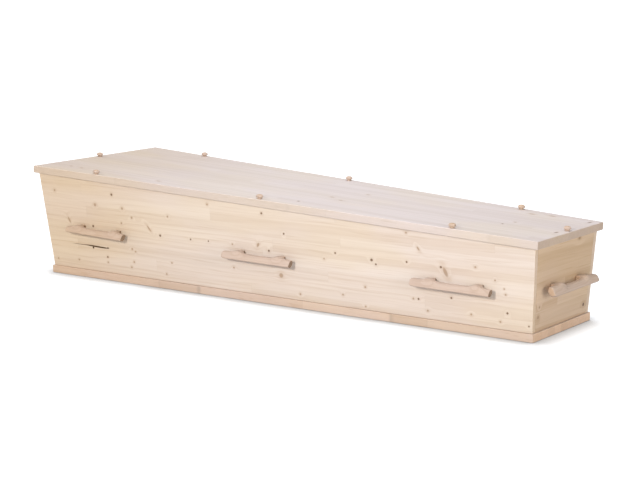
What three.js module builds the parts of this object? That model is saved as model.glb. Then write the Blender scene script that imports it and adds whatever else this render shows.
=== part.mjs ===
// A plain wooden coffin: boards that lean outwards, a thick base board, a flat lid that
// lies on the rim, wooden bar handles and turned wooden lid knobs.
// Millimetres, +Z up. The head end is towards -X and the foot end towards +X.
// The origin is the middle of the base board's underside.

import * as THREE from 'three';
import { ConvexGeometry } from 'three/addons/geometries/ConvexGeometry.js';

// Body, measured outside where the boards stand on the base board
const BODY_LENGTH = 1968;
const BODY_HEAD_WIDTH = 583;
const BODY_FOOT_WIDTH = 373;
const BOARD_THICKNESS = 18;
const JOINT_GAP = 0.3;

// How far each wall leans out for each millimetre that it rises
const SIDE_LEAN = 0.075;
const HEAD_LEAN = 0.115;
const FOOT_LEAN = 0.054;

// Base board
const BASE_THICKNESS = 27.4;
const BASE_LIP = 5.6;

// Rim of the body, under the lid: its height at the two ends
const RIM_HEAD_HEIGHT = 376.2;
const RIM_FOOT_HEIGHT = 299.5;

// Lid
const LID_THICKNESS = 26;
const LID_LIP = 13.8;
const EASED_EDGE = 1.5;

// Lid knobs: turned, with a narrow neck and a domed head
const KNOB_INSET = 16;
const KNOB_STATIONS = { head: -750, middle: -28, foot: 709 };
const KNOB_SIDES = 20;
const KNOB_PROFILE = [
  [0, 0],
  [8.2, 0],
  [7.4, 2.2],
  [8.6, 4],
  [11.4, 5.4],
  [12.2, 7.8],
  [11.7, 10.6],
  [9.4, 13.2],
  [5.2, 14.7],
  [0, 15.1],
];

// Handles: a bar in one piece with its two posts
const POST_SPREAD = 168;
const POST_FOOT_WIDTH = 19;
const POST_FLARE = 15;
const POST_FLARE_TURNS = [0, 25, 50, 75];
const BAR_STAND_OFF = 51;
const BAR_INNER_FACE = 20;
const BAR_MIDDLE_HEIGHT = 17.5;
const BAR_LEVEL_REACH = 38;
const END_RISE_FROM = 42;
const END_RISE_TO = 126;
const SHOULDER_RISE = 9.5;
const SHOULDER_REACH = 19;

// The tips of a bar: how far the rounding reaches in, the size that the section shrinks
// to, and how far up the bar it shrinks towards
const ROUND_START = { rounding: 15, tipSize: 0.5, corner: 0.8 };
const ROUND_FINISH = { rounding: 15, tipSize: 0.5, corner: 0.4 };
const SAWN_FINISH = { rounding: 4, tipSize: 0.84, corner: 0.5 };
const TIP_SECTIONS = [0, 0.45, 0.75, 0.93, 1];
const TIP_CURVE = 2.4;

// The bar's section, round from its outer bottom edge: distance from the wall, height
// over that edge, and the share of the bar's own height that is added
const BAR_SECTION = [
  [BAR_STAND_OFF, 1.8, 0],
  [BAR_STAND_OFF - 1.6, -1, 0],
  [BAR_STAND_OFF - 11, -5.4, 0],
  [BAR_STAND_OFF - 17, -5, 0],
  [BAR_INNER_FACE + 6, -0.5, 0],
  [BAR_INNER_FACE + 1, 5, 0],
  [BAR_INNER_FACE, 0, 0.65],
  [BAR_INNER_FACE + 2.2, -1.8, 1],
  [BAR_INNER_FACE + 6.5, 0.8, 1],
  [BAR_STAND_OFF - 14, 0.4, 1],
  [BAR_STAND_OFF - 10.4, -2, 1],
  [BAR_STAND_OFF - 5, 0, 0.5],
];

// Where a post joins the bar, these points of the section reach in to the wall.
const POST_SECTION = {
  4: [BAR_INNER_FACE, -4],
  5: [JOINT_GAP, -1.5],
  6: [JOINT_GAP, 10],
  7: [JOINT_GAP, 21],
};

// How far each handle's bar runs to its start and finish from midway between the posts,
// its height at each, and where it sits: along its wall, up its wall, and its tilt as rise
// over run. They are shaped and fitted by hand, so they aren't all alike.
const SIDE_HANDLES = {
  head: { reach: [136, 130], ends: [16.5, 18], along: -741, up: 173.5, tilt: -0.035 },
  middle: { reach: [145, 137], ends: [20, 18], along: -23, up: 155, tilt: -0.012 },
  foot: { reach: [151, 135], ends: [19.5, 17], along: 725, up: 145.5, tilt: -0.01 },
};
const HEAD_END_HANDLE = { reach: [150, 150], ends: [20, 20], along: 0, up: 182, tilt: 0 };
const FOOT_END_HANDLE = { reach: [152, 152], ends: [27, 20], along: 3, up: 147.5, tilt: 0 };
const SIDE_TIPS = [ROUND_START, SAWN_FINISH];
const END_TIPS = [ROUND_START, ROUND_FINISH];

// Finishes
const BOARD_WOOD = new THREE.MeshStandardMaterial({ color: 0xecd2b8, roughness: 0.62, metalness: 0 });
const BASE_WOOD = new THREE.MeshStandardMaterial({ color: 0xe0b694, roughness: 0.65, metalness: 0 });
const LID_WOOD = new THREE.MeshStandardMaterial({ color: 0xe2d6cf, roughness: 0.6, metalness: 0 });
const HANDLE_WOOD = new THREE.MeshStandardMaterial({ color: 0xe6ccb8, roughness: 0.55, metalness: 0 });
const KNOB_WOOD = new THREE.MeshStandardMaterial({ color: 0xc9a888, roughness: 0.5, metalness: 0 });

const UP = new THREE.Vector3(0, 0, 1);
const SIDE_TAPER = (BODY_HEAD_WIDTH - BODY_FOOT_WIDTH) / 2 / BODY_LENGTH;
const MEAN_HALF_WIDTH = (BODY_HEAD_WIDTH + BODY_FOOT_WIDTH) / 4;

function named(name, geometry, material) {
  const mesh = new THREE.Mesh(geometry, material);
  mesh.name = name;
  return mesh;
}

// A wall's outside plane: it stands at reach from the origin on top of the base board,
// square to facing in plan, and leans out as it rises.
function wallPlane(facingX, facingY, reach, lean) {
  const normal = new THREE.Vector3(facingX, facingY, -lean);
  const size = normal.length();
  return new THREE.Plane(normal.divideScalar(size), (lean * BASE_THICKNESS - reach) / size);
}

// The same plane moved inwards, against its normal
function inset(plane, distance) {
  return new THREE.Plane(plane.normal.clone(), plane.constant + distance);
}

// The one point that lies on three planes
function corner(a, b, c) {
  const point = new THREE.Vector3();
  point.addScaledVector(b.normal.clone().cross(c.normal), -a.constant);
  point.addScaledVector(c.normal.clone().cross(a.normal), -b.constant);
  point.addScaledVector(a.normal.clone().cross(b.normal), -c.constant);
  return point.divideScalar(a.normal.dot(b.normal.clone().cross(c.normal)));
}

// A flat board between three pairs of planes
function board(faces, ends, heights) {
  const corners = [];
  for (const face of faces) {
    for (const end of ends) {
      for (const height of heights) {
        corners.push(corner(face, end, height));
      }
    }
  }
  return new ConvexGeometry(corners);
}

const walls = {
  front: wallPlane(SIDE_TAPER, -1, MEAN_HALF_WIDTH, SIDE_LEAN),
  back: wallPlane(SIDE_TAPER, 1, MEAN_HALF_WIDTH, SIDE_LEAN),
  head: wallPlane(-1, 0, BODY_LENGTH / 2, HEAD_LEAN),
  foot: wallPlane(1, 0, BODY_LENGTH / 2, FOOT_LEAN),
};

// Outermost points of the rim, on the front side
const rimHeadX = -BODY_LENGTH / 2 - HEAD_LEAN * (RIM_HEAD_HEIGHT - BASE_THICKNESS);
const rimFootX = BODY_LENGTH / 2 + FOOT_LEAN * (RIM_FOOT_HEIGHT - BASE_THICKNESS);
const lidFall = (RIM_HEAD_HEIGHT - RIM_FOOT_HEIGHT) / (rimFootX - rimHeadX);
const lidAngle = Math.atan(lidFall);
const rimHeightAtOrigin = RIM_HEAD_HEIGHT + lidFall * rimHeadX;

const baseTop = new THREE.Plane(UP.clone(), -BASE_THICKNESS);
const rimNormal = new THREE.Vector3(Math.sin(lidAngle), 0, Math.cos(lidAngle));
const lidUnderside = new THREE.Plane(rimNormal, -rimHeightAtOrigin * Math.cos(lidAngle));
const boardHeights = [inset(baseTop, -JOINT_GAP), inset(lidUnderside, JOINT_GAP)];

// A side board runs the full length, so its end grain shows at the corners.
function sideBoard(outside) {
  return board([outside, inset(outside, BOARD_THICKNESS)], [walls.head, walls.foot], boardHeights);
}

// An end board fits between the two side boards.
function endBoard(outside) {
  const sides = [walls.front, walls.back].map((side) => inset(side, BOARD_THICKNESS + JOINT_GAP));
  return board([outside, inset(outside, BOARD_THICKNESS)], sides, boardHeights);
}

// A slab with a tapered plan and eased edges, its underside on z = 0
function taperedSlab(headX, footX, halfWidthAt, thickness) {
  const plan = new THREE.Shape();
  plan.moveTo(headX, -halfWidthAt(headX));
  plan.lineTo(footX, -halfWidthAt(footX));
  plan.lineTo(footX, halfWidthAt(footX));
  plan.lineTo(headX, halfWidthAt(headX));
  plan.closePath();
  const slab = new THREE.ExtrudeGeometry(plan, {
    depth: thickness - 2 * EASED_EDGE,
    bevelEnabled: true,
    bevelThickness: EASED_EDGE,
    bevelSize: EASED_EDGE,
    bevelOffset: -EASED_EDGE,
    bevelSegments: 1,
  });
  return slab.translate(0, 0, EASED_EDGE);
}

function baseHalfWidth(x) {
  return MEAN_HALF_WIDTH - SIDE_TAPER * x + BASE_LIP;
}

// Half the width of the rim at x along the sloping lid
const rimHeadHalfWidth = MEAN_HALF_WIDTH - SIDE_TAPER * rimHeadX
  + SIDE_LEAN * (RIM_HEAD_HEIGHT - BASE_THICKNESS);
const rimFootHalfWidth = MEAN_HALF_WIDTH - SIDE_TAPER * rimFootX
  + SIDE_LEAN * (RIM_FOOT_HEIGHT - BASE_THICKNESS);
const lidHeadX = rimHeadX / Math.cos(lidAngle) - LID_LIP;
const lidFootX = rimFootX / Math.cos(lidAngle) + LID_LIP;

function lidHalfWidth(x) {
  const share = (x * Math.cos(lidAngle) - rimHeadX) / (rimFootX - rimHeadX);
  return THREE.MathUtils.lerp(rimHeadHalfWidth, rimFootHalfWidth, share) + LID_LIP;
}

// The lid and its knobs share one group, turned to the slope of the rim.
function buildLid() {
  const group = new THREE.Group();
  group.position.z = rimHeightAtOrigin;
  group.rotation.y = lidAngle;
  group.add(named('lid', taperedSlab(lidHeadX, lidFootX, lidHalfWidth, LID_THICKNESS), LID_WOOD));

  const places = {
    head_end: [lidHeadX + KNOB_INSET, 0],
    foot_end: [lidFootX - KNOB_INSET, 0],
  };
  for (const [station, x] of Object.entries(KNOB_STATIONS)) {
    const y = lidHalfWidth(x) - KNOB_INSET;
    places[`front_${station}`] = [x, -y];
    places[`back_${station}`] = [x, y];
  }
  for (const [place, [x, y]] of Object.entries(places)) {
    const knob = named(`lid_knob_${place}`, knobGeometry(), KNOB_WOOD);
    knob.position.set(x, y, LID_THICKNESS + JOINT_GAP);
    group.add(knob);
  }
  return group;
}

function knobGeometry() {
  const profile = KNOB_PROFILE.map(([radius, height]) => new THREE.Vector2(radius, height));
  return new THREE.LatheGeometry(profile, KNOB_SIDES).rotateX(Math.PI / 2);
}

// How much of the section at u is post: 1 over the post's foot, 0 on the plain bar,
// with a quarter-round hollow between them
function postShare(u) {
  const past = Math.abs(Math.abs(u) - POST_SPREAD / 2) - POST_FOOT_WIDTH / 2;
  const flare = THREE.MathUtils.clamp(1 - past / POST_FLARE, 0, 1);
  return 1 - Math.sqrt(1 - flare * flare);
}

// Height of the bar's top: low in the middle, a shoulder over each post
function barHeight(u, [startHeight, finishHeight]) {
  const fromPost = (Math.abs(u) - POST_SPREAD / 2) / SHOULDER_REACH;
  const outwards = THREE.MathUtils.smoothstep(Math.abs(u), END_RISE_FROM, END_RISE_TO);
  const endHeight = u < 0 ? startHeight : finishHeight;
  const plain = THREE.MathUtils.lerp(BAR_MIDDLE_HEIGHT, endHeight, outwards);
  return plain + SHOULDER_RISE * Math.exp(-fromPost * fromPost);
}

// One section of the handle at u, as [distance from the wall, height] round the bar
function handleSection(u, shape) {
  const share = postShare(u);
  const top = barHeight(u, shape.ends);
  const section = BAR_SECTION.map(([outwards, height, topShare], index) => {
    const bar = [outwards, height + topShare * top];
    const post = POST_SECTION[index] ?? bar;
    return bar.map((value, axis) => THREE.MathUtils.lerp(value, post[axis], share));
  });
  return shrunkToTip(section, u, shape, top);
}

// Near a tip the bar's section shrinks, which rounds the tip.
function shrunkToTip(section, u, { reach, tips }, top) {
  const side = u < 0 ? 0 : 1;
  const { rounding, tipSize, corner } = tips[side];
  const intoTip = (Math.abs(u) - reach[side] + rounding) / rounding;
  if (intoTip <= 0) {
    return section;
  }
  const fullness = Math.pow(1 - Math.pow(Math.min(intoTip, 1), TIP_CURVE), 1 / TIP_CURVE);
  const size = THREE.MathUtils.lerp(tipSize, 1, fullness);
  const middleOut = (BAR_STAND_OFF + BAR_INNER_FACE) / 2;
  const middleUp = top * corner;
  return section.map(([outwards, height]) => [
    THREE.MathUtils.lerp(middleOut, outwards, size),
    THREE.MathUtils.lerp(middleUp, height, size),
  ]);
}

// Places of the sections along the bar: closer where the shape turns
function handleStations({ reach, tips }) {
  const postInside = (POST_SPREAD - POST_FOOT_WIDTH) / 2;
  const postOutside = (POST_SPREAD + POST_FOOT_WIDTH) / 2;
  const half = [BAR_LEVEL_REACH];
  for (const turn of POST_FLARE_TURNS) {
    half.push(postInside - POST_FLARE * Math.cos(THREE.MathUtils.degToRad(turn)));
  }
  half.push(postInside, POST_SPREAD / 2, postOutside);
  for (const turn of [...POST_FLARE_TURNS].reverse()) {
    half.push(postOutside + POST_FLARE * Math.cos(THREE.MathUtils.degToRad(turn)));
  }
  const [toStart, toFinish] = tips.map(({ rounding }, side) => {
    const tip = TIP_SECTIONS.map((share) => reach[side] - rounding * (1 - share));
    return [...half, ...tip];
  });
  return [...toStart.reverse().map((u) => -u), 0, ...toFinish];
}

// A closed skin through the sections, with a flat fan over each end. The sense is -1
// where the bar starts at the far end of its own length.
function handleGeometry(shape, sense) {
  const stations = handleStations(shape).map((u) => u * sense);
  stations.sort((a, b) => a - b);
  const sections = stations.map((u) => handleSection(u * sense, shape));
  const round = sections[0].length;
  const positions = [];
  const triangles = [];
  sections.forEach((section, station) => {
    for (const [outwards, height] of section) {
      positions.push(stations[station], -outwards, height);
    }
  });
  for (let station = 0; station < stations.length - 1; station += 1) {
    for (let side = 0; side < round; side += 1) {
      const a = station * round + side;
      const b = station * round + (side + 1) % round;
      triangles.push(a, b, a + round, b, b + round, a + round);
    }
  }
  const last = (stations.length - 1) * round;
  for (let side = 1; side < round - 1; side += 1) {
    triangles.push(0, side + 1, side);
    triangles.push(last, last + side, last + side + 1);
  }
  const geometry = new THREE.BufferGeometry();
  geometry.setAttribute('position', new THREE.Float32BufferAttribute(positions, 3));
  geometry.setIndex(triangles);
  geometry.computeVertexNormals();
  return geometry;
}

// Puts a handle on the outside of a wall. Along runs level, X on a side and Y on an end,
// and every bar starts at its lower X or Y, so the two sides mirror each other.
function buildHandle(name, wall, { along, up, tilt, ...shape }) {
  const isSide = Math.abs(wall.normal.y) > 0.5;
  const place = new THREE.Vector3(isSide ? along : 0, isSide ? 0 : along, up);
  const axis = isSide ? 'y' : 'x';
  place[axis] = -(wall.normal.dot(place) + wall.constant) / wall.normal[axis];
  const inwards = wall.normal.clone().negate();
  const level = inwards.clone().cross(UP).normalize();
  const upWall = level.clone().cross(inwards);
  const sense = Math.sign(isSide ? level.x : level.y);
  const mesh = named(name, handleGeometry(shape, sense), HANDLE_WOOD);
  mesh.position.copy(place);
  mesh.quaternion.setFromRotationMatrix(new THREE.Matrix4().makeBasis(level, inwards, upWall));
  mesh.rotateY(-sense * Math.atan(tilt));
  return mesh;
}

const coffin = new THREE.Group();

const basePlan = [-BODY_LENGTH / 2 - BASE_LIP, BODY_LENGTH / 2 + BASE_LIP];
coffin.add(named('base_board', taperedSlab(...basePlan, baseHalfWidth, BASE_THICKNESS), BASE_WOOD));
coffin.add(named('side_board_front', sideBoard(walls.front), BOARD_WOOD));
coffin.add(named('side_board_back', sideBoard(walls.back), BOARD_WOOD));
coffin.add(named('head_board', endBoard(walls.head), BOARD_WOOD));
coffin.add(named('foot_board', endBoard(walls.foot), BOARD_WOOD));
coffin.add(buildLid());

for (const [station, place] of Object.entries(SIDE_HANDLES)) {
  const shape = { ...place, tips: SIDE_TIPS };
  coffin.add(buildHandle(`handle_front_${station}`, walls.front, shape));
  coffin.add(buildHandle(`handle_back_${station}`, walls.back, shape));
}
coffin.add(buildHandle('handle_head_end', walls.head, { ...HEAD_END_HANDLE, tips: END_TIPS }));
coffin.add(buildHandle('handle_foot_end', walls.foot, { ...FOOT_END_HANDLE, tips: END_TIPS }));

export default coffin;
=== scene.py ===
import math

import bmesh
import bpy
from mathutils import Matrix, Vector


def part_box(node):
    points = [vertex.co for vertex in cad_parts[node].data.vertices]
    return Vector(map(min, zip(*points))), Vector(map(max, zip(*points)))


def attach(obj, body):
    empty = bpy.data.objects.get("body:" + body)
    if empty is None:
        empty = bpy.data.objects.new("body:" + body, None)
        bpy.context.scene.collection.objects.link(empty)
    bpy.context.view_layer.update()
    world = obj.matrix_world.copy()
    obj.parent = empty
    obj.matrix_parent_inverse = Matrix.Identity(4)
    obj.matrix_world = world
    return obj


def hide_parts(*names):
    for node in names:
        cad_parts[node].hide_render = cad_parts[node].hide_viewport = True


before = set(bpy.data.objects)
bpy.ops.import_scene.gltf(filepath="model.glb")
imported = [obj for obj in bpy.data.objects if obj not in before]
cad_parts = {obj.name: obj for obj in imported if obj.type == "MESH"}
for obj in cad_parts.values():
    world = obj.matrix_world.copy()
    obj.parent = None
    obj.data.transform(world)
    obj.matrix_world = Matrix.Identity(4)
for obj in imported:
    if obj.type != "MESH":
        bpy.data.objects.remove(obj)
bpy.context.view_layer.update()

bl_info = {
    "name": "Wooden coffin",
    "version": (1, 0, 0),
    "blender": (4, 5, 0),
    "location": "3D View > Sidebar > Coffin",
    "description": "Dresses a plain spruce coffin with bar handles and a lift-off lid",
    "category": "Object",
}

# The slopes of the boards, as in the solids: how much the sides draw in for each metre of
# length, how much each wall leans out for each metre of height, and the fall of the lid
SIDE_TAPER = 0.05336
SIDE_LEAN = 0.075
HEAD_LEAN = 0.115
FOOT_LEAN = 0.054
LID_FALL = 0.03792

# Where the faces lie, in metres from the middle of the coffin: the side walls halfway along
# and the foot wall, both where they meet the base, then the tops of the base and of the lid
SIDE_REACH = 0.239
FOOT_REACH = 0.984
BASE_TOP = 0.0274
LID_TOP = 0.36335

# Knots that show on the front board: place along and up in millimetres, half length,
# half width, and turn in degrees
FRONT_DARK_KNOTS = [
    (-680, 322, 5, 4.6, 0),
    (-779, 196, 5, 5, 0),
    (-720, 86, 4, 4, 0),
    (-467, 192, 5.5, 4.5, 10),
    (-331, 192, 4, 3.4, 0),
    (-253, 194, 3.4, 3, 0),
    (-20, 315, 4.4, 4, 0),
    (68, 253, 4, 4, 0),
    (3, 187, 4.4, 4, 0),
    (411, 200, 5.6, 5, 0),
    (427, 187, 4, 3.6, 0),
    (543, 208, 4, 3.6, 0),
    (668, 205, 4.8, 4.2, 0),
    (583, 90, 4.2, 4, 0),
    (703, 108, 3.8, 3.6, 0),
    (900, 83, 4.4, 4, 0),
    (973, 50, 3.2, 3, 0),
    (271, 208, 4, 3.4, 0),
]
FRONT_SOFT_KNOTS = [
    (-954, 315, 5, 5, 0),
    (-762, 277, 7, 6, 0),
    (-635, 275, 6, 5, 0),
    (-893, 209, 14, 4.4, -62),
    (-593, 245, 6, 4.4, 0),
    (-516, 213, 16, 4, -50),
    (-428, 265, 4.6, 4.4, 0),
    (-643, 220, 4.4, 4, 0),
    (-601, 129, 5, 4, 0),
    (-586, 120, 4, 3.6, 0),
    (-596, 81, 4, 4, 0),
    (-609, 60, 4.4, 4, 0),
    (-720, 66, 3.8, 3.6, 0),
    (-963, 55, 4, 4, 0),
    (-860, 61, 4, 4, 0),
    (-422, 97, 4, 4, 0),
    (-449, 53, 4.4, 4, 0),
    (-249, 325, 5, 3.4, 0),
    (-41, 203, 10, 5, 62),
    (-150, 194, 4, 4, 0),
    (-149, 111, 4.6, 4, 0),
    (49, 106, 11, 8, 0),
    (124, 49, 4.4, 4, 0),
    (226, 184, 4, 3.6, 0),
    (544, 305, 4.2, 4, 0),
    (587, 257, 9, 3.8, -55),
    (684, 190, 19, 7.5, -64),
    (791, 219, 4.2, 4, 0),
    (859, 184, 4, 3.6, 0),
    (890, 160, 3, 2.8, 0),
    (895, 142, 3.8, 3.6, 0),
    (383, 105, 4.4, 4, 0),
    (295, 69, 4, 4, 0),
    (564, 89, 4.4, 4, 0),
    (616, 55, 4.4, 4, 0),
    (773, 63, 4, 4, 0),
    (875, 52, 4, 3.6, 0),
    (382, 39, 4, 3.6, 0),
]

# The long bark pocket under the first handle, and where it widens
FRONT_BARK = [
    (-798, 121, 92, 1.3, 0),
    (-768, 120, 58, 3.2, -2),
    (-786, 115, 5, 4, 0),
    (-716, 120, 5, 3, 0),
]

# Knots on the foot board: place across and up
FOOT_DARK_KNOTS = [(148, 60, 8, 6, 0)]
FOOT_SOFT_KNOTS = [
    (85, 290, 9, 5, 0),
    (-157, 74, 7, 6, 0),
    (-152, 106, 5, 4, 0),
]

# Knots on the lid: place along and across
LID_DARK_KNOTS = [
    (93, -203, 6, 5, 0),
    (791, -47, 5, 4, 0),
    (985, -50, 13, 3.6, 80),
    (986, 175, 13, 3.6, 80),
]
LID_SOFT_KNOTS = [
    (778, 170, 12, 6, 0),
    (845, 186, 14, 5, 0),
    (808, 5, 6, 5, 0),
    (190, 69, 8, 5, 0),
    (128, -57, 9, 5, 0),
    (185, -87, 10, 5, 0),
    (-495, -250, 9, 5, 0),
    (-935, -241, 8, 5, 0),
    (-879, -244, 9, 5, 0),
]

# How much of a board's sharp edge is taken off, and how near two points are to be one
EASED_EDGE = 0.0012
SAME_POINT = 0.00001

# On the handles, how sharp an edge has to be to stay crisp, and how crisp it stays
ARRIS_TURN = math.radians(32)
ARRIS_CREASE = 0.5

# The steps in a knob's full turn, and its axis, square to the sloping lid
KNOB_STEPS = 48
KNOB_AXIS = Vector((math.sin(math.atan(LID_FALL)), 0, math.cos(math.atan(LID_FALL))))

# How much darker the sawn tips of the side handles are: partly darker end grain, partly painted
# shade
END_TONES_AND_PAINTED_SHADES = {"handle_front": 0.5, "handle_back": 0.5}

# A knob's outline from its foot to its crown: radius and height in metres
KNOB_OUTLINE = [
    (0.0, 0.0),
    (0.0079, 0.0),
    (0.0082, 0.0005),
    (0.0076, 0.0018),
    (0.0073, 0.0026),
    (0.0079, 0.0036),
    (0.0098, 0.0045),
    (0.0114, 0.0054),
    (0.0121, 0.0067),
    (0.0122, 0.0082),
    (0.0118, 0.0102),
    (0.0108, 0.0120),
    (0.0092, 0.0134),
    (0.0070, 0.0143),
    (0.0042, 0.0149),
    (0.0, 0.0151),
]


def board_frame(along, outward):
    """The turn from the row's axes to a board's own: along it, across it, through it."""
    along = Vector(along).normalized()
    through = Vector(outward).normalized()
    across = through.cross(along).normalized()
    return Matrix((along, across, through))


FRONT_FRAME = board_frame((1, SIDE_TAPER, 0), (SIDE_TAPER, -1, -SIDE_LEAN))
BACK_FRAME = board_frame((1, -SIDE_TAPER, 0), (SIDE_TAPER, 1, -SIDE_LEAN))
HEAD_FRAME = board_frame((0, 1, 0), (-1, 0, -HEAD_LEAN))
FOOT_FRAME = board_frame((0, 1, 0), (1, 0, -FOOT_LEAN))
LID_FRAME = board_frame((1, 0, -LID_FALL), (LID_FALL, 0, 1))
BASE_FRAME = board_frame((1, 0, 0), (0, 0, 1))


def on_front(along, up):
    x, z = along / 1000, up / 1000
    y = -(SIDE_REACH - SIDE_TAPER * x + SIDE_LEAN * (z - BASE_TOP))
    return FRONT_FRAME @ Vector((x, y, z))


def on_foot(across, up):
    y, z = across / 1000, up / 1000
    x = FOOT_REACH + FOOT_LEAN * (z - BASE_TOP)
    return FOOT_FRAME @ Vector((x, y, z))


def on_lid(along, across):
    x, y = along / 1000, across / 1000
    return LID_FRAME @ Vector((x, y, LID_TOP - LID_FALL * x))


# Shader building

# Places of the colour sockets on a Mix node
MIX_SHARE = 0
MIX_FIRST = 6
MIX_SECOND = 7
MIX_RESULT = 2


def feed(tree, node, inputs):
    """Links each named input of a node, or sets its plain value."""
    for key, value in inputs.items():
        if isinstance(value, bpy.types.NodeSocket):
            tree.links.new(value, node.inputs[key])
        else:
            node.inputs[key].default_value = value
    return node


def add(tree, kind, inputs=None, **settings):
    """A new node with its settings, and its inputs linked or set."""
    node = tree.nodes.new(kind)
    for key, value in settings.items():
        setattr(node, key, value)
    return feed(tree, node, inputs or {})


def maths(tree, operation, *values, clamp=False):
    inputs = dict(enumerate(values))
    node = add(tree, "ShaderNodeMath", inputs, operation=operation, use_clamp=clamp)
    return node.outputs[0]


def ramp(tree, value, low, high, start=0.0, end=1.0):
    """The value carried smoothly from low..high to start..end."""
    inputs = {
        "Value": value,
        "From Min": low,
        "From Max": high,
        "To Min": start,
        "To Max": end,
    }
    node = add(tree, "ShaderNodeMapRange", inputs, interpolation_type="SMOOTHSTEP")
    return node.outputs[0]


def blend(tree, share, first, second, mode="MIX"):
    """Two colours mixed by a share, on the colour sockets of the Mix node."""
    inputs = {MIX_SHARE: share, MIX_FIRST: first, MIX_SECOND: second}
    node = add(tree, "ShaderNodeMix", inputs, data_type="RGBA", blend_type=mode)
    return node.outputs[MIX_RESULT]


def stretched(tree, vector, scale):
    node = add(tree, "ShaderNodeVectorMath", {0: vector, 1: scale}, operation="MULTIPLY")
    return node.outputs[0]


def noise(tree, vector, detail=2.0, roughness=0.5):
    inputs = {"Vector": vector, "Scale": 1.0, "Detail": detail, "Roughness": roughness}
    return add(tree, "ShaderNodeTexNoise", inputs).outputs["Fac"]


def new_group(name, inputs, outputs):
    """An empty node group with these sockets: (name, type, default)."""
    tree = bpy.data.node_groups.new(name, "ShaderNodeTree")
    for label, kind, default in inputs:
        socket = tree.interface.new_socket(label, in_out="INPUT", socket_type=kind)
        if default is not None:
            socket.default_value = default
    for label, kind in outputs:
        tree.interface.new_socket(label, in_out="OUTPUT", socket_type=kind)
    return tree, tree.nodes.new("NodeGroupInput").outputs, tree.nodes.new("NodeGroupOutput")


FLOAT = "NodeSocketFloat"
COLOUR = "NodeSocketColor"
VECTOR = "NodeSocketVector"

# A distance in knot sizes that means no knot is near, and how many times longer than wide
# a knot has to be before its turn counts
FAR = 50.0
LONG_KNOT = 1.6

# Joints between staves: where the glue line begins beside a stave and at its butt end, with
# the stave's middle at 0 and its edge at 0.5, and how far the butt ends are staggered
STAVE_EDGE = 0.5
JOINT_START = 0.482
BUTT_START = 0.4988
BUTT_STAGGER = 7.3

# How often each pattern turns over in a metre along, across and through a board
WARP_GRAIN = (1.3, 14.0, 14.0)
FIBRE_GRAIN = (16.0, 900.0, 900.0)
WANDER_GRAIN = (2.6, 9.0, 9.0)
STREAK_GRAIN = (3.4, 105.0, 105.0)
VEIN_GRAIN = (5.5, 230.0, 230.0)
CLOUD_GRAIN = (2.2, 5.0, 5.0)

# Year rings: how many in a metre, how unevenly they run, and where the heart of the tree
# lies beside and behind each stave, in metres
RINGS_PER_METRE = 330.0
RING_WARP = 0.02
HEART_SIDEWAYS = 0.12
HEART_DEPTH_SPREAD = 0.07
HEART_DEPTH_LEAST = 0.02

# How far a knot pushes the rings aside, and how fast that fades away from it
KNOT_PUSH = 0.8
KNOT_PUSH_FALL = -0.16
EULER = 2.718

# How far the streaks wander across a board, in metres, and how much the staves, the fibres
# and the clouds differ in warmth or tone
STREAK_WANDER = 0.03
STAVE_WARMTH = 0.3
FIBRE_TONE = 0.08
CLOUD_TONE = 0.05

# What fibres, sawn ends and bark add to the roughness
FIBRE_ROUGHNESS = 0.12
END_ROUGHNESS = 0.2
BARK_ROUGHNESS = 0.3

# How high the fibres and rings stand, and how deep the joints and the bark lie
FIBRE_HEIGHT = 0.5
RING_HEIGHT = 0.4
JOINT_DEPTH = 0.8
BARK_DEPTH = 3.0

# Scattered knots: cells in a metre, where the cells start, and the knots' sizes
KNOT_CELLS = 7.5
KNOT_CELL_START = (0.37, 0.61, 0.0)
KNOT_SIZE_SPREAD = 0.022
KNOT_SIZE_LEAST = 0.02

# Tints that multiply the wood's colour, and the colours of its knots
CREAM_TINT = (1.0, 0.99, 0.93, 1.0)
END_GRAIN_TINT = (0.98, 0.9, 0.79, 1.0)
# Painted shade: the wood turns darker and warmer towards the head end, where the light falls off
PAINTED_HEAD_SHADE_TINT = (0.95, 0.89, 0.78, 1.0)
HALO_COLOUR = (0.45, 0.30, 0.19, 1.0)
SOFT_KNOT_COLOUR = (0.30, 0.185, 0.105, 1.0)
DARK_KNOT_COLOUR = (0.14, 0.08, 0.045, 1.0)
BARK_COLOUR = (0.06, 0.03, 0.012, 1.0)


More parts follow.
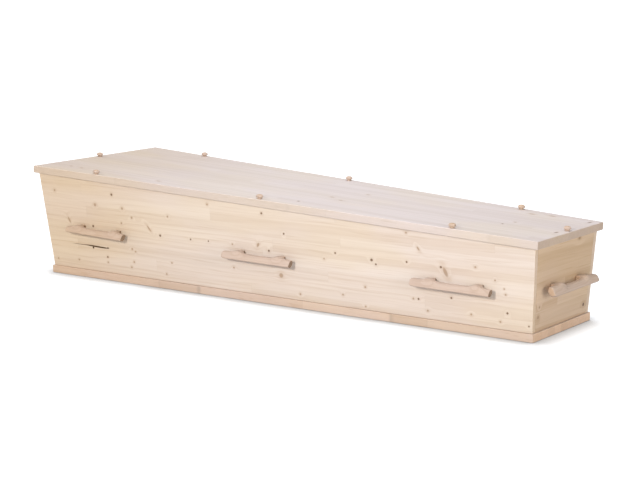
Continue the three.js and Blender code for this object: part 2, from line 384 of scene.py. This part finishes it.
def spruce_group():
    """Planed spruce, glued from staves: rings, fibres, joints and knots."""
    tree, given, out = new_group(
        "Glued spruce",
        [
            ("Vector", VECTOR, None),
            ("Pale", COLOUR, None),
            ("Warm", COLOUR, None),
            ("Stave Width", FLOAT, 0.042),
            ("Stave Length", FLOAT, 1.1),
            ("Tone Spread", FLOAT, 0.03),
            ("Ring Strength", FLOAT, 0.35),
            ("Joint Strength", FLOAT, 0.06),
            ("Seed", FLOAT, 0.0),
            ("End Grain", FLOAT, 0.0),
            # How much darker the sawn ends are: partly end grain, partly painted shade
            ("End Shade", FLOAT, 0.0),
            # How strongly the head end is painted darker and warmer, as shade
            ("Warm End", FLOAT, 0.0),
            ("Dark Knot", FLOAT, FAR),
            ("Soft Knot", FLOAT, FAR),
            ("Bark", FLOAT, FAR),
            ("Knot Share", FLOAT, 0.0),
            ("Matt", FLOAT, 0.42),
        ],
        [("Color", COLOUR), ("Roughness", FLOAT), ("Height", FLOAT)],
    )
    place = add(tree, "ShaderNodeSeparateXYZ", {0: given["Vector"]}).outputs
    along, across, through = place[0], place[1], place[2]

    # Which stave, and which length of it
    row = maths(tree, "ADD", maths(tree, "DIVIDE", across, given["Stave Width"]), given["Seed"])
    stave = maths(tree, "FLOOR", row)
    in_stave = maths(tree, "SUBTRACT", maths(tree, "FRACT", row), STAVE_EDGE)
    joint = ramp(tree, maths(tree, "ABSOLUTE", in_stave), JOINT_START, STAVE_EDGE)
    stave_noise = add(tree, "ShaderNodeTexWhiteNoise", {"W": stave}, noise_dimensions="1D")
    start = maths(tree, "MULTIPLY", stave_noise.outputs["Value"], BUTT_STAGGER)
    column = maths(tree, "ADD", maths(tree, "DIVIDE", along, given["Stave Length"]), start)
    in_length = maths(tree, "SUBTRACT", maths(tree, "FRACT", column), STAVE_EDGE)
    butt = ramp(tree, maths(tree, "ABSOLUTE", in_length), BUTT_START, STAVE_EDGE)
    ids = add(tree, "ShaderNodeCombineXYZ", {0: stave, 1: maths(tree, "FLOOR", column)})
    piece = add(tree, "ShaderNodeTexWhiteNoise", {"Vector": ids.outputs[0]}, noise_dimensions="2D")
    chance = add(tree, "ShaderNodeSeparateColor", {0: piece.outputs["Color"]}).outputs

    # Knots: the named ones, and scattered ones where a share of them is asked for
    flat = add(tree, "ShaderNodeCombineXYZ", {0: along, 1: across, 2: 0.0}).outputs[0]
    shifted = add(tree, "ShaderNodeVectorMath", {0: flat, 1: KNOT_CELL_START}, operation="ADD")
    cells = add(
        tree,
        "ShaderNodeTexVoronoi",
        {"Vector": shifted.outputs[0], "Scale": KNOT_CELLS, "Randomness": 0.9},
        voronoi_dimensions="2D",
    )
    cell = add(tree, "ShaderNodeSeparateColor", {0: cells.outputs["Color"]}).outputs
    size = maths(tree, "MULTIPLY_ADD", cell[2], KNOT_SIZE_SPREAD, KNOT_SIZE_LEAST)
    scattered = maths(tree, "DIVIDE", cells.outputs["Distance"], size)
    absent = maths(tree, "GREATER_THAN", cell[0], given["Knot Share"])
    scattered = maths(tree, "MULTIPLY_ADD", absent, FAR, scattered)
    soft = maths(tree, "MINIMUM", given["Soft Knot"], scattered)
    knot = maths(tree, "MINIMUM", given["Dark Knot"], soft)

    # Year rings, cut lengthwise on the faces and across on the ends
    warp = noise(tree, stretched(tree, given["Vector"], WARP_GRAIN), 1.0)
    warp = maths(tree, "MULTIPLY_ADD", warp, RING_WARP, -RING_WARP / 2)
    sideways = maths(tree, "MULTIPLY", in_stave, given["Stave Width"])
    beside = maths(tree, "MULTIPLY_ADD", chance[0], HEART_SIDEWAYS, -HEART_SIDEWAYS / 2)
    sideways = maths(tree, "ADD", sideways, beside)
    sideways = maths(tree, "ADD", sideways, warp)
    behind = maths(tree, "MULTIPLY_ADD", chance[1], HEART_DEPTH_SPREAD, HEART_DEPTH_LEAST)
    inwards = maths(tree, "ADD", through, behind)
    core = add(tree, "ShaderNodeCombineXYZ", {0: sideways, 1: inwards, 2: 0.0}).outputs[0]
    radius = add(tree, "ShaderNodeVectorMath", {0: core}, operation="LENGTH").outputs["Value"]
    fall = maths(tree, "MULTIPLY", maths(tree, "MULTIPLY", knot, knot), KNOT_PUSH_FALL)
    push = maths(tree, "MULTIPLY", maths(tree, "POWER", EULER, fall), KNOT_PUSH)
    turns = maths(tree, "MULTIPLY_ADD", radius, RINGS_PER_METRE, push)
    phase = maths(tree, "FRACT", turns)
    rise = ramp(tree, phase, 0.35, 0.9)
    drop = ramp(tree, phase, 0.93, 1.0, 1.0, 0.0)
    ring = maths(tree, "MULTIPLY", rise, drop)

    fibres = noise(tree, stretched(tree, given["Vector"], FIBRE_GRAIN), 2.0, 0.6)
    wander = noise(tree, stretched(tree, given["Vector"], WANDER_GRAIN), 1.0)
    wander = maths(tree, "MULTIPLY_ADD", wander, STREAK_WANDER, -STREAK_WANDER / 2)
    wander = add(tree, "ShaderNodeCombineXYZ", {1: wander})
    wavy = {0: given["Vector"], 1: wander.outputs[0]}
    wavy = add(tree, "ShaderNodeVectorMath", wavy, operation="ADD").outputs[0]
    streaks = noise(tree, stretched(tree, wavy, STREAK_GRAIN), 3.0, 0.6)
    veins = noise(tree, stretched(tree, wavy, VEIN_GRAIN), 1.0)
    clouds = noise(tree, stretched(tree, given["Vector"], CLOUD_GRAIN), 2.0)

    # Colour
    warmth = maths(tree, "MULTIPLY_ADD", maths(tree, "SUBTRACT", streaks, 0.5), 1.0, 0.28)
    warmth = maths(tree, "ADD", warmth, ramp(tree, veins, 0.6, 0.75, 0.0, 0.5))
    warmth = maths(tree, "ADD", warmth, maths(tree, "MULTIPLY", ring, given["Ring Strength"]))
    own_warmth = maths(tree, "MULTIPLY_ADD", chance[2], STAVE_WARMTH, -STAVE_WARMTH / 2)
    warmth = maths(tree, "ADD", warmth, own_warmth, clamp=True)
    colour = blend(tree, warmth, given["Pale"], given["Warm"])
    piece_tone = maths(tree, "SUBTRACT", piece.outputs["Value"], 0.5)
    tone = maths(tree, "MULTIPLY", piece_tone, given["Tone Spread"])
    fibre_tone = maths(tree, "MULTIPLY_ADD", fibres, FIBRE_TONE, 1.0 - FIBRE_TONE / 2)
    tone = maths(tree, "ADD", tone, fibre_tone)
    cloud_tone = maths(tree, "MULTIPLY_ADD", clouds, CLOUD_TONE, -CLOUD_TONE / 2)
    tone = maths(tree, "ADD", tone, cloud_tone)
    lines = maths(tree, "MAXIMUM", maths(tree, "MULTIPLY", joint, piece.outputs["Value"]), butt)
    tone = maths(tree, "SUBTRACT", tone, maths(tree, "MULTIPLY", lines, given["Joint Strength"]))
    # Sawn ends darkened: partly the darker end grain, partly painted shade; a value below nought
    # paints light on them instead
    end_shade = maths(tree, "MULTIPLY", given["End Grain"], given["End Shade"])
    tone = maths(tree, "SUBTRACT", tone, end_shade)
    toned = add(tree, "ShaderNodeVectorMath", {0: colour}, operation="SCALE")
    tree.links.new(tone, toned.inputs["Scale"])
    # Painted shade: darker, warmer wood towards the head end, where the light falls off
    towards_head = ramp(tree, along, -0.2, -1.0)
    tints = {
        CREAM_TINT: ramp(tree, clouds, 0.4, 0.62),
        END_GRAIN_TINT: given["End Grain"],
        PAINTED_HEAD_SHADE_TINT: maths(tree, "MULTIPLY", towards_head, given["Warm End"]),
    }
    colour = toned.outputs[0]
    for tint, share in tints.items():
        colour = blend(tree, share, colour, tint, "MULTIPLY")

    halo = ramp(tree, knot, 1.0, 2.6, 0.2, 0.0)
    colour = blend(tree, halo, colour, HALO_COLOUR)
    soft_core = ramp(tree, soft, 0.5, 1.15, 0.66, 0.0)
    colour = blend(tree, soft_core, colour, SOFT_KNOT_COLOUR)
    dark_core = ramp(tree, given["Dark Knot"], 0.65, 1.1, 0.9, 0.0)
    colour = blend(tree, dark_core, colour, DARK_KNOT_COLOUR)
    bark = ramp(tree, given["Bark"], 0.7, 1.15, 0.95, 0.0)
    colour = blend(tree, bark, colour, BARK_COLOUR)
    tree.links.new(colour, out.inputs["Color"])

    roughness = maths(tree, "MULTIPLY_ADD", fibres, FIBRE_ROUGHNESS, given["Matt"])
    end_rough = maths(tree, "MULTIPLY", given["End Grain"], END_ROUGHNESS)
    roughness = maths(tree, "ADD", roughness, end_rough)
    roughness = maths(tree, "ADD", roughness, maths(tree, "MULTIPLY", bark, BARK_ROUGHNESS))
    tree.links.new(roughness, out.inputs["Roughness"])

    rings_up = maths(tree, "MULTIPLY", ring, RING_HEIGHT)
    height = maths(tree, "MULTIPLY_ADD", fibres, FIBRE_HEIGHT, rings_up)
    height = maths(tree, "SUBTRACT", height, maths(tree, "MULTIPLY", lines, JOINT_DEPTH))
    height = maths(tree, "SUBTRACT", height, maths(tree, "MULTIPLY", bark, BARK_DEPTH))
    tree.links.new(height, out.inputs["Height"])
    return tree


def grain_group():
    """How squarely a surface cuts the grain: 1 on a sawn end, 0 along the board."""
    tree, given, out = new_group(
        "Sawn end",
        [("Normal", VECTOR, None), ("Along", VECTOR, (1.0, 0.0, 0.0))],
        [("End Grain", FLOAT)],
    )
    facing = add(
        tree,
        "ShaderNodeVectorMath",
        {0: given["Normal"], 1: given["Along"]},
        operation="DOT_PRODUCT",
    ).outputs["Value"]
    tree.links.new(ramp(tree, maths(tree, "ABSOLUTE", facing), 0.6, 0.95), out.inputs["End Grain"])
    return tree


def knots_group(name, channels):
    """How far a point is from the nearest knot of each channel, in knot sizes."""
    tree, given, out = new_group(
        name,
        [("Vector", VECTOR, None)],
        [(label, FLOAT) for label in channels],
    )
    flat = stretched(tree, given["Vector"], (1.0, 1.0, 0.0))
    for label, knots in channels.items():
        nearest = FAR
        for place, length, width, turn in knots:
            centre = (place[0], place[1], 0.0)
            if length < LONG_KNOT * width:
                between = {0: flat, 1: centre}
                span = add(tree, "ShaderNodeVectorMath", between, operation="DISTANCE")
                size = (length + width) / 2000
                far = maths(tree, "DIVIDE", span.outputs["Value"], size)
            else:
                inputs = {
                    "Vector": flat,
                    "Location": centre,
                    "Rotation": (0.0, 0.0, math.radians(turn)),
                    "Scale": (length / 1000, width / 1000, 1.0),
                }
                local = add(tree, "ShaderNodeMapping", inputs, vector_type="TEXTURE").outputs[0]
                span = add(tree, "ShaderNodeVectorMath", {0: local}, operation="LENGTH")
                far = span.outputs["Value"]
            nearest = maths(tree, "MINIMUM", far, nearest)
        if knots:
            tree.links.new(nearest, out.inputs[label])
    return tree


def placed(knots, where):
    return [(where(first, second), *size) for first, second, *size in knots]


def shared_group(name, build):
    return bpy.data.node_groups.get(name) or build()


def use_group(tree, group, inputs):
    return add(tree, "ShaderNodeGroup", inputs, node_tree=group)


def wood_material(name, axes, pale, warm, knots=None, bump=0.0004, **settings):
    """Spruce on a board whose own axes are given, with its named knots."""
    material = bpy.data.materials.new(name)
    material.use_nodes = True
    tree = material.node_tree
    tree.nodes.clear()
    where = tree.nodes.new("ShaderNodeTexCoord")
    inputs = {"Vector": where.outputs["Object"], "Rotation": axes.to_euler("XYZ")}
    mapped = add(tree, "ShaderNodeMapping", inputs).outputs[0]
    end_inputs = {"Normal": where.outputs["Normal"], "Along": axes.row[0]}
    end = use_group(tree, shared_group("Sawn end", grain_group), end_inputs)
    wood_inputs = {
        "Vector": mapped,
        "Pale": (*pale, 1.0),
        "Warm": (*warm, 1.0),
        "End Grain": end.outputs[0],
    }
    wood_inputs.update({key.replace("_", " ").title(): value for key, value in settings.items()})
    if knots:
        group = knots_group(name + " knots", knots)
        nearest = use_group(tree, group, {"Vector": mapped})
        for label, found in knots.items():
            if found:
                wood_inputs[label] = nearest.outputs[label]
    wood = use_group(tree, shared_group("Glued spruce", spruce_group), wood_inputs)
    bumped = add(
        tree,
        "ShaderNodeBump",
        {"Strength": 0.35, "Distance": bump, "Height": wood.outputs["Height"]},
    )
    surface = add(
        tree,
        "ShaderNodeBsdfPrincipled",
        {
            "Base Color": wood.outputs["Color"],
            "Roughness": wood.outputs["Roughness"],
            "IOR": 1.45,
            "Specular IOR Level": 0.2,
            "Normal": bumped.outputs[0],
        },
    )
    add(tree, "ShaderNodeOutputMaterial", {"Surface": surface.outputs[0]})
    return material


def wear(piece, material):
    """Puts the material in the piece's only slot."""
    piece.data.materials.clear()
    piece.data.materials.append(material)


# Piece building


def merged_copy(node):
    """A CAD node's mesh with its loose triangles joined into clean faces."""
    shape = bmesh.new()
    shape.from_mesh(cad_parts[node].data)
    bmesh.ops.remove_doubles(shape, verts=shape.verts, dist=SAME_POINT)
    return shape


def finish_piece(shape, node, name, material):
    mesh = bpy.data.meshes.new(name)
    shape.to_mesh(mesh)
    shape.free()
    piece = bpy.data.objects.new(name, mesh)
    bpy.context.scene.collection.objects.link(piece)
    wear(piece, material)
    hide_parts(node)
    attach(piece, "root")
    return piece


def eased_board(node, name, material, edge):
    """A board with its sharp edges taken off."""
    shape = merged_copy(node)
    bmesh.ops.dissolve_limit(
        shape,
        angle_limit=math.radians(2),
        verts=shape.verts,
        edges=shape.edges,
    )
    bmesh.ops.bevel(
        shape,
        geom=shape.edges[:],
        offset=edge,
        offset_type="OFFSET",
        segments=2,
        affect="EDGES",
        profile=0.5,
        material=-1,
    )
    return finish_piece(shape, node, name, material)


def sanded_handle(node, name, material):
    """A handle with its worked facets rounded over, flat where it meets the wall."""
    shape = merged_copy(node)
    bmesh.ops.join_triangles(
        shape,
        faces=shape.faces,
        angle_face_threshold=math.radians(40),
        angle_shape_threshold=math.radians(60),
    )
    crease = shape.edges.layers.float.new("crease_edge")
    for edge in shape.edges:
        if edge.calc_face_angle(0.0) > ARRIS_TURN:
            edge[crease] = ARRIS_CREASE
    piece = finish_piece(shape, node, name, material)
    smooth = piece.modifiers.new("Sanded", "SUBSURF")
    smooth.levels = 2
    smooth.render_levels = 2
    for face in piece.data.polygons:
        face.use_smooth = True
    return piece


def turned_knob(node, name, material):
    """A lid knob, turned about the lid's own upright."""
    lo, hi = (Vector(corner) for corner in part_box(node))
    height = KNOB_OUTLINE[-1][1]
    foot = (lo + hi) / 2 - KNOB_AXIS * (height / 2)
    shape = bmesh.new()
    points = [shape.verts.new((radius, 0, up)) for radius, up in KNOB_OUTLINE]
    edges = [shape.edges.new(pair) for pair in zip(points, points[1:])]
    bmesh.ops.spin(
        shape,
        geom=points + edges,
        cent=(0, 0, 0),
        axis=(0, 0, 1),
        angle=math.tau,
        steps=KNOB_STEPS,
        use_merge=True,
    )
    bmesh.ops.remove_doubles(shape, verts=shape.verts, dist=SAME_POINT)
    bmesh.ops.recalc_face_normals(shape, faces=shape.faces)
    turn = Vector((0, 0, 1)).rotation_difference(KNOB_AXIS).to_matrix().to_4x4()
    bmesh.ops.transform(shape, matrix=Matrix.Translation(foot) @ turn, verts=shape.verts)
    piece = finish_piece(shape, node, name, material)
    for face in piece.data.polygons:
        face.use_smooth = True
    return piece


# Settings


def colour_property(name, description, default):
    return bpy.props.FloatVectorProperty(
        name=name,
        description=description,
        subtype="COLOR",
        size=3,
        min=0.0,
        max=1.0,
        default=default,
    )


class CoffinWoodSettings(bpy.types.PropertyGroup):
    board_pale: colour_property("Board, pale", "Early wood of the walls", (0.672, 0.583, 0.518))
    board_warm: colour_property("Board, warm", "Late wood of the walls", (0.578, 0.468, 0.385))
    foot_pale: colour_property("Foot board, pale", "Early wood of the foot", (0.64, 0.485, 0.352))
    foot_warm: colour_property("Foot board, warm", "Late wood of the foot", (0.53, 0.374, 0.246))
    base_pale: colour_property("Base, pale", "Early wood of the base board", (0.61, 0.48, 0.405))
    base_warm: colour_property("Base, warm", "Late wood of the base board", (0.515, 0.378, 0.29))
    lid_pale: colour_property("Lid, pale", "Early wood of the lid", (0.6, 0.515, 0.475))
    lid_warm: colour_property("Lid, warm", "Late wood of the lid", (0.53, 0.44, 0.384))
    handle_pale: colour_property("Handle, pale", "Lighter wood of the bars", (0.515, 0.4, 0.33))
    handle_warm: colour_property("Handle, warm", "Darker wood of the bars", (0.43, 0.313, 0.245))
    stave_width: bpy.props.FloatProperty(
        name="Stave width",
        description="Width of the strips that the boards are glued from",
        default=0.042,
        min=0.02,
        max=0.15,
        unit="LENGTH",
    )


class CoffinStageSettings(bpy.types.PropertyGroup):
    camera_place: bpy.props.FloatVectorProperty(
        name="Camera place",
        description="Where the camera stands",
        subtype="TRANSLATION",
        unit="LENGTH",
        size=3,
        default=(3.308, -4.455, 1.220),
    )
    camera_target: bpy.props.FloatVectorProperty(
        name="Camera target",
        description="What the camera looks at",
        subtype="TRANSLATION",
        unit="LENGTH",
        size=3,
        default=(0.034, 0.0, 0.190),
    )
    lens: bpy.props.FloatProperty(
        name="Lens",
        description="Focal length in millimetres on a 36 mm sensor",
        default=90.27,
        min=20.0,
        max=300.0,
    )
    key_power: bpy.props.FloatProperty(
        name="Key light",
        description="Power of the soft light on the front, in watts",
        default=136.0,
        min=0.0,
    )
    left_power: bpy.props.FloatProperty(
        name="Left light",
        description="Power of the soft light from the camera's left, in watts",
        default=850.0,
        min=0.0,
    )
    top_power: bpy.props.FloatProperty(
        name="Top light",
        description="Power of the soft light overhead, in watts",
        default=98.0,
        min=0.0,
    )
    foot_power: bpy.props.FloatProperty(
        name="Foot light",
        description="Power of the broad fill light off the foot end, in watts",
        default=126.0,
        min=0.0,
    )
    head_power: bpy.props.FloatProperty(
        name="Head light",
        description="Power of the weak warm light off the head end, in watts",
        default=10.0,
        min=0.0,
    )
    sky: bpy.props.FloatProperty(
        name="Room light",
        description="Strength of the even white light all round",
        default=0.42,
        min=0.0,
    )


# Light and floor

WARM_WHITE = (1.0, 0.98, 0.95)
COOL_WHITE = (0.795, 0.865, 0.98)
ORANGE = (1.0, 0.78, 0.55)

# The point that every lamp faces, in metres
COFFIN_MIDDLE = Vector((0.0, 0.0, 0.2))

# The lamps: place and width in metres, and colour
LAMPS = {
    "key": ((1.1, -4.4, 1.65), 0.5, WARM_WHITE),
    "left": ((-12.4, -1.5, 6.5), 1.6, COOL_WHITE),
    "top": ((0.1, 0.3, 3.6), 2.0, COOL_WHITE),
    "foot": ((5.1, -1.6, 0.7), 2.8, WARM_WHITE),
    "head": ((-2.6, -2.2, 0.7), 1.2, ORANGE),
}

FLOOR_HALF_WIDTH = 30.0
FLOOR_DROP = 0.0005
FLOOR_GREY = (0.45, 0.45, 0.45, 1.0)
SKY_COLOUR = (0.96, 0.985, 1.03, 1.0)

# The floor's glow: the share of it that lights the coffin, and its strength from the near
# distance to the far one, in metres from the middle
LIGHTING_SHARE = 0.2
NEAR_FLOOR = 1.0
FAR_FLOOR = 4.0
GLOW_NEAR = 0.7
GLOW_FAR = 0.95

# The painted shadow under the coffin, dimmed into the floor's glow: how near the coffin has to be to
# dim the floor, how steeply it dims, and how many rays look for it
CONTACT_REACH = 0.07
CONTACT_DEPTH = 2.1
CONTACT_RAYS = 8


def soft_light(name, place, size, power, colour):
    """A round soft light that faces the middle of the coffin and leaves no glare on it."""
    data = bpy.data.lights.new(name, "AREA")
    data.shape = "DISK"
    data.size = size
    data.energy = power
    data.color = colour
    light = bpy.data.objects.new(name, data)
    light.location = place
    light.visible_glossy = False
    towards = Vector(place) - COFFIN_MIDDLE
    light.rotation_euler = towards.to_track_quat("Z", "Y").to_euler()
    bpy.context.scene.collection.objects.link(light)


def white_floor():
    """A matt grey floor that glows until it looks white, less so where the coffin is close: a
    painted contact shadow.
    """
    material = bpy.data.materials.new("white floor")
    material.use_nodes = True
    tree = material.node_tree
    paint = tree.nodes["Principled BSDF"]
    paint.inputs["Base Color"].default_value = FLOOR_GREY
    paint.inputs["Roughness"].default_value = 1.0
    paint.inputs["Specular IOR Level"].default_value = 0.0
    paint.inputs["Emission Color"].default_value = (1.0, 1.0, 1.0, 1.0)
    where = add(tree, "ShaderNodeTexCoord").outputs["Object"]
    span = add(tree, "ShaderNodeVectorMath", {0: where}, operation="LENGTH").outputs["Value"]
    # Painted contact shadow: the glow is dimmed where the coffin is close
    reach = {"Distance": CONTACT_REACH}
    closeness = add(tree, "ShaderNodeAmbientOcclusion", reach, samples=CONTACT_RAYS)
    open_air = maths(tree, "POWER", closeness.outputs["AO"], CONTACT_DEPTH)
    seen = add(tree, "ShaderNodeLightPath").outputs["Is Camera Ray"]
    glow = maths(tree, "MULTIPLY_ADD", seen, 1.0 - LIGHTING_SHARE, LIGHTING_SHARE)
    strength = ramp(tree, span, NEAR_FLOOR, FAR_FLOOR, GLOW_NEAR, GLOW_FAR)
    glow = maths(tree, "MULTIPLY", glow, strength)
    tree.links.new(maths(tree, "MULTIPLY", glow, open_air), paint.inputs["Emission Strength"])
    return material


# Operators


class COFFIN_OT_stage(bpy.types.Operator):
    """Sets the camera, the white floor, the room light and the soft lights"""

    bl_idname = "coffin.stage"
    bl_label = "Set the stage"

    def execute(self, context):
        settings = context.scene.coffin_stage
        scene = context.scene
        scene.view_settings.view_transform = "Standard"
        camera_data = bpy.data.cameras.new("camera")
        camera_data.lens = settings.lens
        camera_data.sensor_width = 36.0
        camera = bpy.data.objects.new("camera", camera_data)
        camera.location = settings.camera_place
        back = Vector(settings.camera_place) - Vector(settings.camera_target)
        camera.rotation_euler = back.to_track_quat("Z", "Y").to_euler()
        scene.collection.objects.link(camera)
        scene.camera = camera

        shape = bmesh.new()
        bmesh.ops.create_grid(shape, x_segments=1, y_segments=1, size=FLOOR_HALF_WIDTH)
        mesh = bpy.data.meshes.new("floor")
        shape.to_mesh(mesh)
        shape.free()
        floor = bpy.data.objects.new("floor", mesh)
        floor.location.z = -FLOOR_DROP
        scene.collection.objects.link(floor)
        wear(floor, white_floor())

        world = bpy.data.worlds.new("white room")
        world.use_nodes = True
        sky = world.node_tree.nodes["Background"]
        sky.inputs["Color"].default_value = SKY_COLOUR
        sky.inputs["Strength"].default_value = settings.sky
        scene.world = world

        for lamp, (place, size, colour) in LAMPS.items():
            soft_light(lamp + " light", place, size, getattr(settings, lamp + "_power"), colour)
        return {"FINISHED"}


class COFFIN_OT_boards(bpy.types.Operator):
    """Makes the four walls of glued spruce"""

    bl_idname = "coffin.boards"
    bl_label = "Make the walls"

    def execute(self, context):
        wood = context.scene.coffin_wood
        colours = {
            "pale": wood.board_pale,
            "warm": wood.board_warm,
            "stave_width": wood.stave_width,
            # Painted shade, darker and warmer towards the head end
            "warm_end": 1.0,
        }
        front_knots = {
            "Dark Knot": placed(FRONT_DARK_KNOTS, on_front),
            "Soft Knot": placed(FRONT_SOFT_KNOTS, on_front),
            "Bark": placed(FRONT_BARK, on_front),
        }
        foot_knots = {
            "Dark Knot": placed(FOOT_DARK_KNOTS, on_foot),
            "Soft Knot": placed(FOOT_SOFT_KNOTS, on_foot),
        }
        boards = {
            "side_board_front": ("front spruce", FRONT_FRAME, front_knots, 0.13, 0.0),
            "side_board_back": ("back spruce", BACK_FRAME, None, 0.71, 0.5),
            "head_board": ("head spruce", HEAD_FRAME, None, 0.37, 0.4),
            "foot_board": ("foot spruce", FOOT_FRAME, foot_knots, 0.52, 0.0),
        }
        for node, (name, axes, knots, seed, share) in boards.items():
            if node == "foot_board":
                colours.update(pale=wood.foot_pale, warm=wood.foot_warm, ring_strength=0.6)
            material = wood_material(name, axes, knots=knots, seed=seed, knot_share=share, **colours)
            eased_board(node, node + "_eased", material, EASED_EDGE)
        return {"FINISHED"}


class COFFIN_OT_base(bpy.types.Operator):
    """Makes the thick base board"""

    bl_idname = "coffin.base"
    bl_label = "Make the base board"

    def execute(self, context):
        wood = context.scene.coffin_wood
        material = wood_material(
            "base spruce",
            BASE_FRAME,
            wood.base_pale,
            wood.base_warm,
            stave_width=wood.stave_width,
            stave_length=0.62,
            tone_spread=0.12,
            joint_strength=0.3,
            seed=0.21,
            knot_share=0.3,
            # Painted shade, darker and warmer towards the head end
            warm_end=0.8,
            # Painted light: the base's sawn ends are made brighter, not darker
            end_shade=-0.2,
        )
        eased_board("base_board", "base_board_eased", material, EASED_EDGE / 4)
        return {"FINISHED"}


class COFFIN_OT_lid(bpy.types.Operator):
    """Makes the flat lid"""

    bl_idname = "coffin.lid"
    bl_label = "Make the lid"

    def execute(self, context):
        wood = context.scene.coffin_wood
        knots = {
            "Dark Knot": placed(LID_DARK_KNOTS, on_lid),
            "Soft Knot": placed(LID_SOFT_KNOTS, on_lid),
        }
        material = wood_material(
            "lid spruce",
            LID_FRAME,
            wood.lid_pale,
            wood.lid_warm,
            knots=knots,
            stave_width=wood.stave_width,
            seed=0.44,
            matt=0.5,
            # Painted shade, darker and warmer towards the head end
            warm_end=0.8,
            # Sawn ends of the lid a little darker: partly end grain, partly painted shade
            end_shade=0.07,
        )
        eased_board("lid", "lid_eased", material, EASED_EDGE / 4)
        return {"FINISHED"}


class COFFIN_OT_handles(bpy.types.Operator):
    """Makes the bar handles, sanded round"""

    bl_idname = "coffin.handles"
    bl_label = "Make the handles"

    def execute(self, context):
        wood = context.scene.coffin_wood
        frames = {
            "handle_front": FRONT_FRAME,
            "handle_back": BACK_FRAME,
            "handle_head": HEAD_FRAME,
            "handle_foot": FOOT_FRAME,
        }
        for side, axes in frames.items():
            material = wood_material(
                side.replace("_", " ") + " wood",
                axes,
                wood.handle_pale,
                wood.handle_warm,
                stave_width=3.0,
                stave_length=9.0,
                joint_strength=0.0,
                ring_strength=0.35,
                seed=0.5,
                # Sawn tips darkened: partly end grain, partly painted shade
                end_shade=END_TONES_AND_PAINTED_SHADES.get(side, 0.0),
                # Painted shade, darker and warmer towards the head end
                warm_end=0.8,
            )
            for node in sorted(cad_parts):
                if node.startswith(side):
                    sanded_handle(node, node + "_sanded", material)
        return {"FINISHED"}


class COFFIN_OT_knobs(bpy.types.Operator):
    """Makes the turned lid knobs"""

    bl_idname = "coffin.knobs"
    bl_label = "Make the lid knobs"

    def execute(self, context):
        wood = context.scene.coffin_wood
        upright = board_frame((LID_FALL, 0, 1), (0, -1, 0))
        material = wood_material(
            "knob wood",
            upright,
            wood.handle_pale,
            wood.handle_warm,
            stave_width=3.0,
            stave_length=9.0,
            joint_strength=0.0,
            seed=0.5,
        )
        for node in sorted(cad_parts):
            if node.startswith("lid_knob"):
                turned_knob(node, node + "_turned", material)
        return {"FINISHED"}


class COFFIN_PT_panel(bpy.types.Panel):
    """The coffin's settings and steps"""

    bl_idname = "COFFIN_PT_panel"
    bl_label = "Wooden coffin"
    bl_space_type = "VIEW_3D"
    bl_region_type = "UI"
    bl_category = "Coffin"

    def draw(self, context):
        layout = self.layout
        for settings in (context.scene.coffin_wood, context.scene.coffin_stage):
            for name in settings.__annotations__:
                layout.prop(settings, name)
        for operator in OPERATORS:
            layout.operator(operator.bl_idname)


SETTINGS = (CoffinWoodSettings, CoffinStageSettings)
OPERATORS = (
    COFFIN_OT_stage,
    COFFIN_OT_boards,
    COFFIN_OT_base,
    COFFIN_OT_lid,
    COFFIN_OT_handles,
    COFFIN_OT_knobs,
)


def register():
    for kind in (*SETTINGS, *OPERATORS, COFFIN_PT_panel):
        bpy.utils.register_class(kind)
    bpy.types.Scene.coffin_wood = bpy.props.PointerProperty(type=CoffinWoodSettings)
    bpy.types.Scene.coffin_stage = bpy.props.PointerProperty(type=CoffinStageSettings)


def unregister():
    del bpy.types.Scene.coffin_stage
    del bpy.types.Scene.coffin_wood
    for kind in reversed((*SETTINGS, *OPERATORS, COFFIN_PT_panel)):
        bpy.utils.unregister_class(kind)


def main():
    register()
    bpy.ops.coffin.stage()
    bpy.ops.coffin.boards()
    bpy.ops.coffin.base()
    bpy.ops.coffin.lid()
    bpy.ops.coffin.handles()
    bpy.ops.coffin.knobs()


if __name__ == "__main__":
    main()
